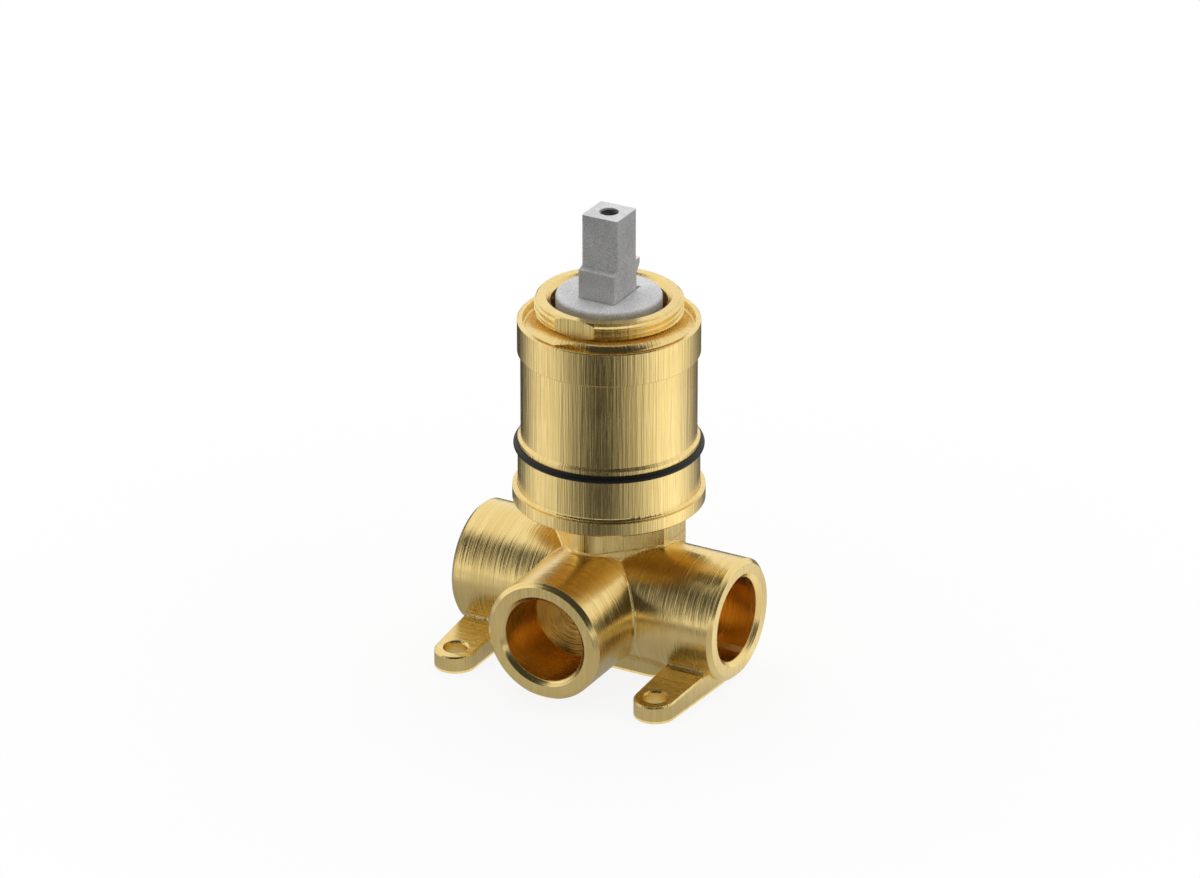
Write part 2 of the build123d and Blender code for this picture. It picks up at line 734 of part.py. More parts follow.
def lever():
    """The grey lever: square bar with front shoulder, back barb, pin eye and foot."""
    half = lever_half
    front = -half - shoulder_thickness
    outline = Polyline(
        (half, pivot_z),
        (half, barb_top_z - barb_height),
        (half + barb_reach, barb_top_z - barb_land_height),
        (half + barb_reach, barb_top_z),
        (half, barb_top_z),
        (half, lever_top_z),
        (-half, lever_top_z),
        (-half, shoulder_top_z + shoulder_slope_height),
        (front, shoulder_top_z),
        (front, shoulder_bottom_z),
        (-half, shoulder_bottom_z),
        (-half, pivot_z),
    )
    eye = ThreePointArc((-half, pivot_z), (0, pivot_z - half), (half, pivot_z))
    bar = extrude(Plane.YZ * make_face(outline + eye), half, both=True)
    bar = fillet([e for e in bar.edges().filter_by(Axis.Z) if e.center().Z > shoulder_top_z], lever_edge_r)
    neck_root_z = pivot_z - half + lever_edge_r
    bar += rod(foot_neck_d, foot_z, neck_root_z) + Pos(0, 0, foot_z) * Sphere(foot_ball_d / 2)
    hole_r = pin_d / 2 + pin_clearance
    bar -= bar_between(2 * hole_r, (-half, 0, pivot_z), (half, 0, pivot_z))
    bar -= rod(lever_screw_core_d, lever_top_z - lever_screw_depth, lever_top_z)
    core_r = lever_screw_core_d / 2
    sink = Cone(core_r, core_r + lever_screw_bevel, lever_screw_bevel, align=FROM_BELOW)
    return bar - Pos(0, 0, lever_top_z - lever_screw_bevel) * sink


def lever_pin():
    """The steel pin, pushed in from the left through the head and the lever."""
    return bar_between(pin_d, (pin_start_x, 0, pivot_z), (pin_end_x, 0, pivot_z))


barrel_ring_d = lower_band_d - 2 * ring_groove_depth + 2 * barrel_ring_section
barrel_ring_z = ring_groove_z + ring_groove_width / 2
carrier_ring_z = moving_disc_z + disc_thickness + carrier_ring_section / 2

NODES = {
    "valve_body": valve_body(),
    "barrel_oring": round_ring(barrel_ring_d, barrel_ring_section, barrel_ring_z),
    "cartridge_nut": cartridge_nut(),
    "nut_thrust_ring": tube(housing_d, thrust_ring_bore_d, housing_top_z, thrust_ring_top_z),
    "cartridge_housing": cartridge_housing(),
    "housing_oring": round_ring(body_ring_d(), body_ring_section, base_shoulder_z + body_ring_groove_lift),
    "cartridge_base": cartridge_base(),
    "base_seal_cold": base_seal(0),
    "base_seal_hot": base_seal(180),
    "base_seal_outlet": base_seal(-90),
    "disc_gasket": disc_gasket(),
    "fixed_disc": fixed_disc(),
    "moving_disc": moving_disc(),
    "carrier_oring": round_ring(carrier_ring_d, carrier_ring_section, carrier_ring_z, moving_disc_offset),
    "disc_carrier": disc_carrier(),
    "control_head": control_head(),
    "head_oring": round_ring(stem_ring_d(), head_ring_section, housing_top_z - head_ring_below_roof_top),
    "head_bearing_ring": tube(stem_flange_d, housing_throat_d, bearing_low_z, roof_z),
    "hot_limit_ring": limit_ring(),
    "lever": lever(),
    "lever_pin": lever_pin(),
}

os.makedirs("parts", exist_ok=True)
for name, solid in NODES.items():
    export_step(solid, f"parts/{name}.step")
    print(f"{name}: {len(solid.solids())} solid, {solid.volume:.1f} mm3")
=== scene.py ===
import logging
from dataclasses import dataclass
from enum import Enum
from math import cos, pi, radians, sin, tan

import bpy
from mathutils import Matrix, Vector


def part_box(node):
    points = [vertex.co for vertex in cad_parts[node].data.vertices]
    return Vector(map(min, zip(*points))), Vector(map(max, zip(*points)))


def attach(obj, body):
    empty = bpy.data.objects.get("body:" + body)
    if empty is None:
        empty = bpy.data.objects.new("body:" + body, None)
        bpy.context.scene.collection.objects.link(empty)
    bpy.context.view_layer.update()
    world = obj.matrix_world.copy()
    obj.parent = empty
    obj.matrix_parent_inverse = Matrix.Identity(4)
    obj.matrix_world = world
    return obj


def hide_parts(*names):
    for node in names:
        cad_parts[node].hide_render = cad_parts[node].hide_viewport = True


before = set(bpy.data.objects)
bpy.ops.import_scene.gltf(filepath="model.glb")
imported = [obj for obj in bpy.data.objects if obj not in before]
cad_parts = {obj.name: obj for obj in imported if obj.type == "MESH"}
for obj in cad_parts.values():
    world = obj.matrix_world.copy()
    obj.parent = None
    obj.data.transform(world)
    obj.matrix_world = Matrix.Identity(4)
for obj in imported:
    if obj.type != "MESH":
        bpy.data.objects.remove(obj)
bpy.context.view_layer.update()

MM = 0.001
LOG = logging.getLogger("mixer_valve")
Triple = tuple[float, float, float]
Colour = Triple
Socket = bpy.types.NodeSocket
Value = Socket | float
Corner = tuple[float, float]
Span = tuple[float, float]


class Body(Enum):
    """The bodies that new pieces ride on."""

    CASTING = "casting"
    LEVER = "lever"


class Brushing(Enum):
    """Which way the fine scratches of the brass run."""

    UPRIGHT = "upright"
    CASTING = "casting"


@dataclass(frozen=True)
class Grain:
    """A kind of soft noise: how fine it is, how many finer layers it has and how strong they are."""

    scale: float
    detail: float = 2.0
    rough: float = 0.5


class Graph:
    """A node tree that is written from its inputs to its output."""

    def __init__(self, tree: bpy.types.NodeTree) -> None:
        """Empties the tree of a material or of the world."""
        self.tree = tree
        self.tree.nodes.clear()

    def node(self, kind: str, **settings: object) -> bpy.types.Node:
        """Adds a node and sets its properties.

        Args:
            kind: the node's type name.
            settings: properties of the node by name.

        Returns:
            The new node.
        """
        made = self.tree.nodes.new(kind)
        for name, value in settings.items():
            setattr(made, name, value)
        return made

    def feed(self, target: Socket, value: Value | Colour) -> None:
        """Links a socket to an input, or sets the input to a number or colour.

        Args:
            target: the input.
            value: what goes into it.
        """
        if isinstance(value, Socket):
            self.tree.links.new(value, target)
        else:
            target.default_value = value

    def math(self, operation: str, *values: Value) -> Socket:
        """Works out one number from one to three others.

        Args:
            operation: the name of the sum, such as ADD.
            values: sockets or numbers.

        Returns:
            The socket with the result.
        """
        made = self.node("ShaderNodeMath", operation=operation)
        for target, value in zip(made.inputs, values):
            self.feed(target, value)
        return made.outputs[0]

    def reach(self, x: Value, y: Value) -> Socket:
        """Works out how far a point of a plane lies from its origin.

        Args:
            x: the first number of the point.
            y: the second number.

        Returns:
            The socket with the distance.
        """
        squares = (self.math("MULTIPLY", number, number) for number in (x, y))
        return self.math("SQRT", self.math("ADD", *squares))

    def total(self, parts: dict[Socket, float]) -> Socket:
        """Adds up sockets, each times its weight.

        Args:
            parts: the weight of each socket.

        Returns:
            The socket with the sum.
        """
        weighed = [self.math("MULTIPLY", part, weight) for part, weight in parts.items()]
        result = weighed[0]
        for part in weighed[1:]:
            result = self.math("ADD", result, part)
        return result

    def span(self, value: Value, low: float, high: float, start: Value, end: Value) -> Socket:
        """Carries a value from one span over to another, and holds it at the ends.

        Args:
            value: the value to carry over.
            low: where the first span starts.
            high: where the first span ends.
            start: the result at low.
            end: the result at high.

        Returns:
            The socket with the result.
        """
        made = self.node("ShaderNodeMapRange", clamp=True)
        for target, number in zip(made.inputs, (value, low, high, start, end)):
            self.feed(target, number)
        return made.outputs[0]

    def join(self, x: Value, y: Value, z: Value) -> Socket:
        """Joins three numbers to one vector.

        Args:
            x: the first number.
            y: the second number.
            z: the third number.

        Returns:
            The socket with the vector.
        """
        made = self.node("ShaderNodeCombineXYZ")
        for target, value in zip(made.inputs, (x, y, z)):
            self.feed(target, value)
        return made.outputs[0]

    def part(self, vector: Socket) -> list[Socket]:
        """Parts a vector into its three numbers.

        Args:
            vector: the vector.

        Returns:
            The three sockets.
        """
        made = self.node("ShaderNodeSeparateXYZ")
        self.feed(made.inputs[0], vector)
        return list(made.outputs)

    def stretch(self, place: list[Socket], scales: Triple) -> Socket:
        """Scales a place along each axis.

        Args:
            place: the three numbers of the place.
            scales: the scale along each axis.

        Returns:
            The socket with the scaled place.
        """
        return self.join(*(self.math("MULTIPLY", number, scale) for number, scale in zip(place, scales)))

    def blend_vector(self, share: Value, first: Socket, second: Socket) -> Socket:
        """Blends two vectors.

        Args:
            share: how much of the second, from 0 to 1.
            first: the first vector.
            second: the second vector.

        Returns:
            The socket with the blend.
        """
        made = self.node("ShaderNodeMix", data_type="VECTOR")
        for target, value in zip((made.inputs[0], made.inputs[4], made.inputs[5]), (share, first, second)):
            self.feed(target, value)
        return made.outputs[1]

    def blend_colour(self, share: Value, first: Socket | Colour, second: Socket | Colour) -> Socket:
        """Blends two colours.

        Args:
            share: how much of the second, from 0 to 1.
            first: the first colour.
            second: the second colour.

        Returns:
            The socket with the blend.
        """
        made = self.node("ShaderNodeMix", data_type="RGBA")
        self.feed(made.inputs[0], share)
        for target, value in zip((made.inputs[6], made.inputs[7]), (first, second)):
            self.feed(target, value if isinstance(value, Socket) else (*value, 1.0))
        return made.outputs[2]

    def noise(self, vector: Socket, grain: Grain) -> Socket:
        """Reads soft noise at a place, around 0.5.

        Args:
            vector: the place.
            grain: the kind of noise.

        Returns:
            The socket with the noise.
        """
        made = self.node("ShaderNodeTexNoise")
        self.feed(made.inputs["Vector"], vector)
        settings = {"Scale": grain.scale, "Detail": grain.detail, "Roughness": grain.rough}
        for name, number in settings.items():
            made.inputs[name].default_value = number
        return made.outputs["Fac"]

    def relief(self, height: Socket, depth: float, strength: Value, normal: Socket) -> Socket:
        """Turns a height into a surface normal.

        Args:
            height: the height, from 0 to 1.
            depth: how deep a height of 1 is, in metres.
            strength: how much of the relief shows.
            normal: the normal that the relief is added to.

        Returns:
            The socket with the normal.
        """
        made = self.node("ShaderNodeBump")
        made.inputs["Distance"].default_value = depth
        for name, value in {"Strength": strength, "Height": height, "Normal": normal}.items():
            self.feed(made.inputs[name], value)
        return made.outputs["Normal"]

    def soft_edges(self, radius: float, samples: int = 6,
                   alike: Span = (0.985, 0.80)) -> tuple[Socket, Socket]:
        """Rounds the look of sharp edges and finds where they are.

        Args:
            radius: the radius in metres.
            samples: how many rays look for an edge.
            alike: how alike the rounded and the true normal are beside an edge, and on it.

        Returns:
            The rounded normal, and a mask that is 1 on the edges.
        """
        made = self.node("ShaderNodeBevel", samples=samples)
        made.inputs["Radius"].default_value = radius
        product = self.node("ShaderNodeVectorMath", operation="DOT_PRODUCT")
        self.feed(product.inputs[0], made.outputs["Normal"])
        self.feed(product.inputs[1], self.node("ShaderNodeNewGeometry").outputs["Normal"])
        return made.outputs["Normal"], self.span(product.outputs["Value"], *alike, 0.0, 1.0)

    def round_about(self, turn: Socket, shades: tuple[Span, ...]) -> Socket:
        """Grades a shade round the circle.

        Args:
            turn: the way round, from 0 to 1.
            shades: azimuth in degrees and shade of each stop.

        Returns:
            The socket with the shade.
        """
        ramp = self.node("ShaderNodeValToRGB")
        stops = ramp.color_ramp.elements
        while len(stops) < len(shades):
            stops.new(1.0)
        for stop, (degrees, shade) in zip(stops, shades):
            stop.position = (degrees + 180) / 360
            stop.color = (shade, shade, shade, 1.0)
        self.feed(ramp.inputs[0], turn)
        return self.part(ramp.outputs["Color"])[0]

    def seen(self) -> Socket:
        """Whether a ray comes from the camera or from glossy metal.

        Returns:
            The socket, 1 where the background shows.
        """
        path = self.node("ShaderNodeLightPath").outputs
        seen = self.math("MAXIMUM", path["Is Camera Ray"], path["Is Glossy Ray"])
        return self.math("MAXIMUM", seen, path["Is Transmission Ray"])

    def glow(self, brightness: Value, emitter: str = "ShaderNodeEmission",
             kind: str = "ShaderNodeOutputMaterial") -> None:
        """Finishes the tree as a plain white light.

        Args:
            brightness: how bright it is, where 1 is white.
            emitter: the type name of the node that shines.
            kind: the type name of the output.
        """
        shader = self.node(emitter)
        shader.inputs["Color"].default_value = (1.0, 1.0, 1.0, 1.0)
        self.feed(shader.inputs["Strength"], brightness)
        self.finish(shader.outputs[0], kind)

    def finish(self, shader: Socket, kind: str = "ShaderNodeOutputMaterial") -> None:
        """Links the finished shader to the output."""
        self.feed(self.node(kind).inputs["Surface"], shader)


def new_material(name: str) -> tuple[bpy.types.Material, Graph]:
    """Makes a material with an empty node tree.

    Args:
        name: the material's name.

    Returns:
        The material and its graph.
    """
    made = bpy.data.materials.new(name)
    made.use_nodes = True
    return made, Graph(made.node_tree)


@dataclass(frozen=True)
class CastingFaces:
    """Tells the faces of the casting apart, so that the brush runs the right way on each of them and the
    bores get their painted reflection and painted shade.

    Sizes are in metres. A span holds the two ends of a soft change from one face to the next.
    """

    axis_z: float = 16.2 * MM
    socket_r: float = 16.1 * MM
    bore_r: float = 11.1 * MM
    bore_end: float = -9.5 * MM
    socket_top_z: float = 32.3 * MM
    lug_top_z: float = 9.0 * MM
    lug_hole: Corner = (29.1 * MM, -28.6 * MM)
    lug_hole_r: float = 3.0 * MM
    past_socket: Span = (0.15 * MM, 0.4 * MM)
    past_bore: Span = (0.05 * MM, 0.15 * MM)
    bevel_facing: Span = (0.93, 0.98)
    end_facing: Span = (0.5, 0.8)
    level_facing: Span = (0.9, 0.97)
    change: float = 0.4 * MM
    slow_change: float = 0.5 * MM

    def from_axis(self, graph: Graph, sideways: Socket, place: list[Socket]) -> Socket:
        """How far a place lies from the axis of a socket.

        Args:
            graph: the material's graph.
            sideways: the level distance from the axis.
            place: the place.

        Returns:
            The socket with the distance in metres.
        """
        return graph.reach(sideways, graph.math("SUBTRACT", place[2], self.axis_z))

    def round_share(self, graph: Graph, distance: Socket, along_axis: Socket,
                    place: list[Socket]) -> Socket:
        """Whether a place lies on a round or bevelled face of a socket, outside or inside.

        Args:
            graph: the material's graph.
            distance: how far it lies from the socket's axis.
            along_axis: how far the face looks along the socket's axis.
            place: the place.

        Returns:
            The socket with the share, from 0 to 1.
        """
        near = graph.span(distance, *(self.socket_r + past for past in self.past_socket), 1.0, 0.0)
        bent = graph.span(graph.math("ABSOLUTE", along_axis), *self.bevel_facing, 1.0, 0.0)
        low = graph.span(place[2], self.socket_top_z, self.socket_top_z + self.change, 1.0, 0.0)
        return graph.math("MULTIPLY", graph.math("MULTIPLY", near, bent), low)

    def bore_share(self, graph: Graph, distance: Socket, outwards: Socket) -> Socket:
        """Whether a place lies in the bore of a socket.

        Args:
            graph: the material's graph.
            distance: how far it lies from the socket's axis.
            outwards: how far it lies from the cartridge axis along the socket.

        Returns:
            The socket with the share, from 0 to 1.
        """
        within = graph.span(distance, *(self.bore_r + past for past in self.past_bore), 1.0, 0.0)
        beyond = graph.span(outwards, self.bore_end, self.bore_end + self.slow_change, 0.0, 1.0)
        return graph.math("MULTIPLY", within, beyond)

    def lug_hole_share(self, graph: Graph, place: list[Socket]) -> Socket:
        """Whether a place lies in the screw hole of a lug.

        Args:
            graph: the material's graph.
            place: the place.

        Returns:
            The socket with the share, from 0 to 1.
        """
        aside = graph.math("SUBTRACT", graph.math("ABSOLUTE", place[0]), self.lug_hole[0])
        ahead = graph.math("SUBTRACT", place[1], self.lug_hole[1])
        edge = (self.lug_hole_r + past for past in self.past_bore)
        return graph.span(graph.reach(aside, ahead), *edge, 1.0, 0.0)

    def lug_top_share(self, graph: Graph, place: list[Socket], normal: list[Socket]) -> Socket:
        """Whether a place lies on the level top of a lug or of the foot.

        Args:
            graph: the material's graph.
            place: the place.
            normal: the three parts of the face's normal.

        Returns:
            The socket with the share, from 0 to 1.
        """
        up = graph.span(normal[2], *self.level_facing, 0.0, 1.0)
        low = graph.span(place[2], self.lug_top_z, self.lug_top_z + self.slow_change, 1.0, 0.0)
        return graph.math("MULTIPLY", up, low)

    def turned_share(self, graph: Graph, place: list[Socket]) -> Socket:
        """Whether a place lies above the sockets, where the brush goes as on turned pieces.

        Args:
            graph: the material's graph.
            place: the place.

        Returns:
            The socket with the share, from 0 to 1.
        """
        return graph.span(place[2], self.socket_top_z, self.socket_top_z + self.change, 0.0, 1.0)


@dataclass(frozen=True)
class BrushedBrass:
    """Satin brass with fine scratches along the last stroke of the brush, and painted reflection and
    painted shade in the casting's bores.

    Across and along are how many scratches lie on a metre, across the stroke and along it.
    """

    name: str
    brushing: Brushing
    faces: CastingFaces = CastingFaces()
    bright: Colour = (0.91, 0.70, 0.295)
    deep: Colour = (0.80, 0.59, 0.225)
    worn: Colour = (0.95, 0.76, 0.36)
    # Painted reflection: a warm orange in the bores and lug holes, standing in for light bounced round
    # inside them.
    bore: Colour = (0.98, 0.70, 0.24)
    # Painted shade and painted reflection: a dark orange brown on the bores' end faces, standing in for
    # the shade and bounced light deep inside.
    bore_floor_painted_shade: Colour = (0.52, 0.28, 0.06)
    smoothest: float = 0.17
    roughest: float = 0.30
    rough_span: Span = (0.35, 0.65)
    tone_span: Span = (0.36, 0.62)
    across: float = 1150.0
    along: float = 26.0
    coarse: Grain = Grain(1.0, 3.0, 0.55)
    coarse_share: float = 0.65
    fine: Grain = Grain(2.7, 2.0, 0.6)
    cloud: Grain = Grain(90.0)
    cloud_share: float = 0.3
    scratch_depth: float = 0.00024
    calm_strength: float = 0.12
    calm_facing: Span = (0.3, 0.9)
    calm_height: Span = (0.5 * MM, 1.5 * MM)
    round_strength: float = 0.6
    edge_radius: float = 0.00012
    barrel_r: float = 22.0 * MM
    least_r: float = 1.0 * MM
    swirl: float = 0.85

    def _turned(self, graph: Graph, place: list[Socket]) -> Socket:
        """The scratch pattern of a turned piece, whose strokes run along its profile.

        Args:
            graph: the material's graph.
            place: the place.

        Returns:
            The place in the scratch pattern.
        """
        reach = graph.math("MAXIMUM", graph.reach(*place[:2]), self.least_r)
        scale = graph.math("DIVIDE", self.across * self.barrel_r, reach)
        level = [graph.math("MULTIPLY", number, scale) for number in place[:2]]
        return graph.join(*level, graph.math("MULTIPLY", place[2], self.along))

    def _cast(self, graph: Graph, place: list[Socket], normal: list[Socket]) -> tuple[Socket, ...]:
        """The scratch pattern of the casting, which changes from face to face.

        Args:
            graph: the material's graph.
            place: the place.
            normal: the three parts of the face's normal.

        Returns:
            The place in the scratch pattern, and the shares of the bores, their end faces and the rounds.
        """
        faces, across, along = self.faces, self.across, self.along
        stroke = graph.stretch(place, (across, across, along))
        bores, floors, rounds = [faces.lug_hole_share(graph, place)], [], []
        for sideways, outwards, along_axis, scales in (
            (place[1], graph.math("ABSOLUTE", place[0]), normal[0], (across, along, along)),
            (place[0], graph.math("MULTIPLY", place[1], -1.0), normal[1], (along, across, along)),
        ):
            distance = faces.from_axis(graph, sideways, place)
            bores.append(faces.bore_share(graph, distance, outwards))
            rounds.append(faces.round_share(graph, distance, along_axis, place))
            stroke = graph.blend_vector(rounds[-1], stroke, graph.stretch(place, scales))
            facing = graph.span(graph.math("ABSOLUTE", along_axis), *faces.end_facing, 0.0, 1.0)
            floors.append(graph.math("MULTIPLY", bores[-1], facing))
            swirl = graph.join(graph.math("MULTIPLY", distance, across), 0.0, 0.0)
            stroke = graph.blend_vector(graph.math("MULTIPLY", floors[-1], self.swirl), stroke, swirl)
        lengthways = graph.stretch(place, (along, across, across))
        stroke = graph.blend_vector(faces.lug_top_share(graph, place, normal), stroke, lengthways)
        stroke = graph.blend_vector(faces.turned_share(graph, place), stroke, self._turned(graph, place))
        bore = graph.math("MAXIMUM", graph.math("MAXIMUM", *bores[:2]), bores[2])
        return stroke, bore, graph.math("MAXIMUM", *floors), graph.math("MAXIMUM", *rounds)

    def _strength(self, graph: Graph, place: list[Socket], normal: list[Socket],
                  rounds: Socket | None) -> Socket:
        """How strongly the scratches show, which is less on the lathe's upward faces and on the sockets.

        Args:
            graph: the material's graph.
            place: the place.
            normal: the three parts of the face's normal.
            rounds: the share of the sockets' round faces, if there are any.

        Returns:
            The socket with the strength, from 0 to 1.
        """
        up = graph.span(normal[2], *self.calm_facing, 0.0, 1.0)
        heights = (self.faces.socket_top_z + above for above in self.calm_height)
        high = graph.span(place[2], *heights, 0.0, 1.0)
        strength = graph.span(graph.math("MULTIPLY", up, high), 0.0, 1.0, 1.0, self.calm_strength)
        if rounds is None:
            return strength
        return graph.math("MULTIPLY", strength, graph.span(rounds, 0.0, 1.0, 1.0, self.round_strength))

    def material(self) -> bpy.types.Material:
        """Builds the material.

        Returns:
            The finished material.
        """
        made, graph = new_material(self.name)
        coordinates = graph.node("ShaderNodeTexCoord")
        place = graph.part(coordinates.outputs["Object"])
        facing = graph.part(coordinates.outputs["Normal"])
        bore = bore_floor_painted_shade = rounds = None
        if self.brushing is Brushing.CASTING:
            stroke, bore, bore_floor_painted_shade, rounds = self._cast(graph, place, facing)
        else:
            stroke = self._turned(graph, place)
        coarse, fine = (graph.noise(stroke, grain) for grain in (self.coarse, self.fine))
        scratch = graph.total({coarse: self.coarse_share, fine: 1.0 - self.coarse_share})
        cloud = graph.noise(coordinates.outputs["Object"], self.cloud)
        normal, edge = graph.soft_edges(self.edge_radius)
        mixed = graph.total({scratch: 1.0 - self.cloud_share, cloud: self.cloud_share})
        tone = graph.span(mixed, *self.tone_span, 0.0, 1.0)
        colour = graph.blend_colour(tone, self.deep, self.bright)
        colour = graph.blend_colour(edge, colour, self.worn)
        if bore is not None:
            # Painted reflection: the bores and lug holes take a warmer orange that stands in for light
            # bounced inside them.
            colour = graph.blend_colour(bore, colour, self.bore)
            # Painted shade and painted reflection: the bores' end faces take a dark orange brown for the
            # shade and bounced light deep in the bores.
            colour = graph.blend_colour(bore_floor_painted_shade, colour, self.bore_floor_painted_shade)
        shader = graph.node("ShaderNodeBsdfPrincipled")
        shader.inputs["Metallic"].default_value = 1.0
        graph.feed(shader.inputs["Base Color"], colour)
        rough = graph.span(scratch, *self.rough_span, self.roughest, self.smoothest)
        graph.feed(shader.inputs["Roughness"], rough)
        strength = self._strength(graph, place, facing, rounds)
        graph.feed(shader.inputs["Normal"], graph.relief(scratch, self.scratch_depth, strength, normal))
        graph.finish(shader.outputs["BSDF"])
        return made


@dataclass(frozen=True)
class GrainedSurface:
    """A surface with a fine grain and paler edges, such as moulded plastic, ceramic or rubber, and painted
    shade in a hole round its axis if it has one.
    """

    name: str
    colour: Colour
    roughness: float
    grain: Grain = Grain(2700.0, 2.0, 0.6)
    grain_depth: float = 0.00004
    grain_strength: float = 0.5
    shade: float = 0.26
    worn: float = 0.10
    cloud: Grain = Grain(140.0)
    cloud_share: float = 0.25
    tone_span: Span = (0.36, 0.64)
    rough_change: float = 0.12
    metallic: float = 0.0
    specular: float = 0.5
    edge_radius: float = 0.0002
    # Painted shade in a hole round the piece's axis: its radius, how dark it is, and how soft its edge is.
    painted_shade_hole_r: float = 0.0
    painted_hole_shade: float = 0.3
    painted_shade_hole_blur: float = 0.1 * MM

    def _shaded(self, times: float) -> Colour:
        """The colour made paler or darker.

        Args:
            times: what each part of the colour is multiplied by.

        Returns:
            The colour, no part of it over 1.
        """
        return tuple(min(1.0, part * times) for part in self.colour)

    def material(self) -> bpy.types.Material:
        """Builds the material.

        Returns:
            The finished material.
        """
        made, graph = new_material(self.name)
        place = graph.node("ShaderNodeTexCoord").outputs["Object"]
        grain, cloud = (graph.noise(place, kind) for kind in (self.grain, self.cloud))
        mixed = graph.total({grain: 1.0 - self.cloud_share, cloud: self.cloud_share})
        tone = graph.span(mixed, *self.tone_span, 0.0, 1.0)
        dark, pale, worn = (self._shaded(1.0 + change) for change in (-self.shade, self.shade, self.worn))
        normal, edge = graph.soft_edges(self.edge_radius)
        colour = graph.blend_colour(edge, graph.blend_colour(tone, dark, pale), worn)
        # Painted shade: within the radius round the axis the colour darkens, standing in for the shade
        # inside the screw hole.
        if self.painted_shade_hole_r:
            away = graph.reach(*graph.part(place)[:2])
            hole = graph.span(away, self.painted_shade_hole_r - self.painted_shade_hole_blur, self.painted_shade_hole_r, 1.0, 0.0)
            colour = graph.blend_colour(hole, colour, self._shaded(self.painted_hole_shade))
        shader = graph.node("ShaderNodeBsdfPrincipled")
        shader.inputs["Metallic"].default_value = self.metallic
        shader.inputs["Specular IOR Level"].default_value = self.specular
        graph.feed(shader.inputs["Base Color"], colour)
        spread = self.roughness * self.rough_change
        rough = graph.span(mixed, *self.tone_span, self.roughness - spread, self.roughness + spread)
        graph.feed(shader.inputs["Roughness"], rough)
        relief = graph.relief(grain, self.grain_depth, self.grain_strength, normal)
        graph.feed(shader.inputs["Normal"], relief)
        graph.finish(shader.outputs["BSDF"])
        return made


def dress(node: str, material: bpy.types.Material) -> None:
    """Gives a node of the frame its material.

    Args:
        node: the node's name.
        material: the finish.
    """
    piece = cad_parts[node]
    if not piece.material_slots:
        piece.data.materials.append(material)
    for place in piece.material_slots:
        place.material = material
    LOG.info("dressed %s in %s", node, material.name)


def select_only(piece: bpy.types.Object | None = None) -> None:
    """Leaves object mode with one piece selected, or nothing.

    Args:
        piece: the piece to select and make active.
    """
    if bpy.context.mode != "OBJECT":
        bpy.ops.object.mode_set(mode="OBJECT")
    bpy.ops.object.select_all(action="DESELECT")
    if piece is not None:
        bpy.context.view_layer.objects.active = piece
        piece.select_set(True)


def edit_all() -> None:
    """Goes to edit mode on the active piece with all of it selected."""
    bpy.ops.object.mode_set(mode="EDIT")
    bpy.ops.mesh.select_all(action="SELECT")


def apply_modifier(piece: bpy.types.Object, kind: str, **settings: object) -> None:
    """Adds a modifier to a piece and applies it.

    Args:
        piece: the piece that it changes.
        kind: the modifier's type name.
        settings: properties of the modifier by name.
    """
    select_only(piece)
    made = piece.modifiers.new(kind.title(), kind)
    for name, value in settings.items():
        setattr(made, name, value)
    bpy.ops.object.modifier_apply(modifier=made.name)


def close_mesh(piece: bpy.types.Object, merge: float = 0.002 * MM) -> None:
    """Merges doubles, closes open ends and points the faces outwards.

    Args:
        piece: the piece.
        merge: how near two points are merged.
    """
    select_only(piece)
    edit_all()
    bpy.ops.mesh.remove_doubles(threshold=merge)
    bpy.ops.mesh.fill_holes(sides=4)
    bpy.ops.mesh.select_all(action="SELECT")
    bpy.ops.mesh.normals_make_consistent(inside=False)
    bpy.ops.object.mode_set(mode="OBJECT")


def finish_piece(piece: bpy.types.Object, name: str, material: bpy.types.Material, body: Body,
                 node: str, smooth_deg: float = 32.0) -> None:
    """Closes and shades a piece, dresses it and lets it stand for its node.

    Args:
        piece: the piece.
        name: its name.
        material: its finish.
        body: the body that it rides on.
        node: the node that it replaces.
        smooth_deg: edges sharper than this stay sharp.
    """
    close_mesh(piece)
    bpy.ops.object.shade_smooth_by_angle(angle=radians(smooth_deg))
    apply_modifier(piece, "WEIGHTED_NORMAL", mode="FACE_AREA", weight=50, keep_sharp=True)
    piece.name = name
    piece.data.name = name
    piece.data.materials.clear()
    piece.data.materials.append(material)
    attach(piece, body.value)
    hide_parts(node)
    LOG.info("modelled %s with %d faces", name, len(piece.data.polygons))


def turned_ring(outline: list[Corner], steps: int) -> bpy.types.Object:
    """Turns a closed ring from an outline, as on a lathe, by extruding and scaling a circle.

    Args:
        outline: radius and height of each corner in mm, the first one not repeated.
        steps: how many sides the ring has.

    Returns:
        The ring, with its place in its mesh.
    """
    select_only()
    radius, height = outline[0]
    bpy.ops.mesh.primitive_circle_add(vertices=steps, radius=radius * MM, location=(0, 0, 0))
    piece = bpy.context.active_object
    edit_all()
    bpy.ops.transform.translate(value=(0, 0, height * MM))
    for next_radius, next_height in [*outline[1:], outline[0]]:
        bpy.ops.mesh.extrude_region_move()
        bpy.ops.transform.translate(value=(0, 0, (next_height - height) * MM))
        grow = next_radius / radius
        bpy.ops.transform.resize(value=(grow, grow, 1), center_override=(0, 0, next_height * MM))
        radius, height = next_radius, next_height
    bpy.ops.object.mode_set(mode="OBJECT")
    close_mesh(piece)
    return piece


def quarter_round(start: Corner, end: Corner, bow: Corner, steps: int) -> list[Corner]:
    """The corners of a quarter circle between two points of an outline.

    Args:
        start: where it starts.
        end: where it ends.
        bow: the centre of the circle.
        steps: how many straight pieces it is made of.

    Returns:
        The corners, with both ends.
    """
    points = []
    for step in range(steps + 1):
        turn = step / steps * pi / 2
        shares = (1 - cos(turn) - sin(turn), cos(turn), sin(turn))
        points.append(tuple(sum(share * corner[axis] for share, corner in zip(shares, (bow, start, end)))
                            for axis in (0, 1)))
    return points


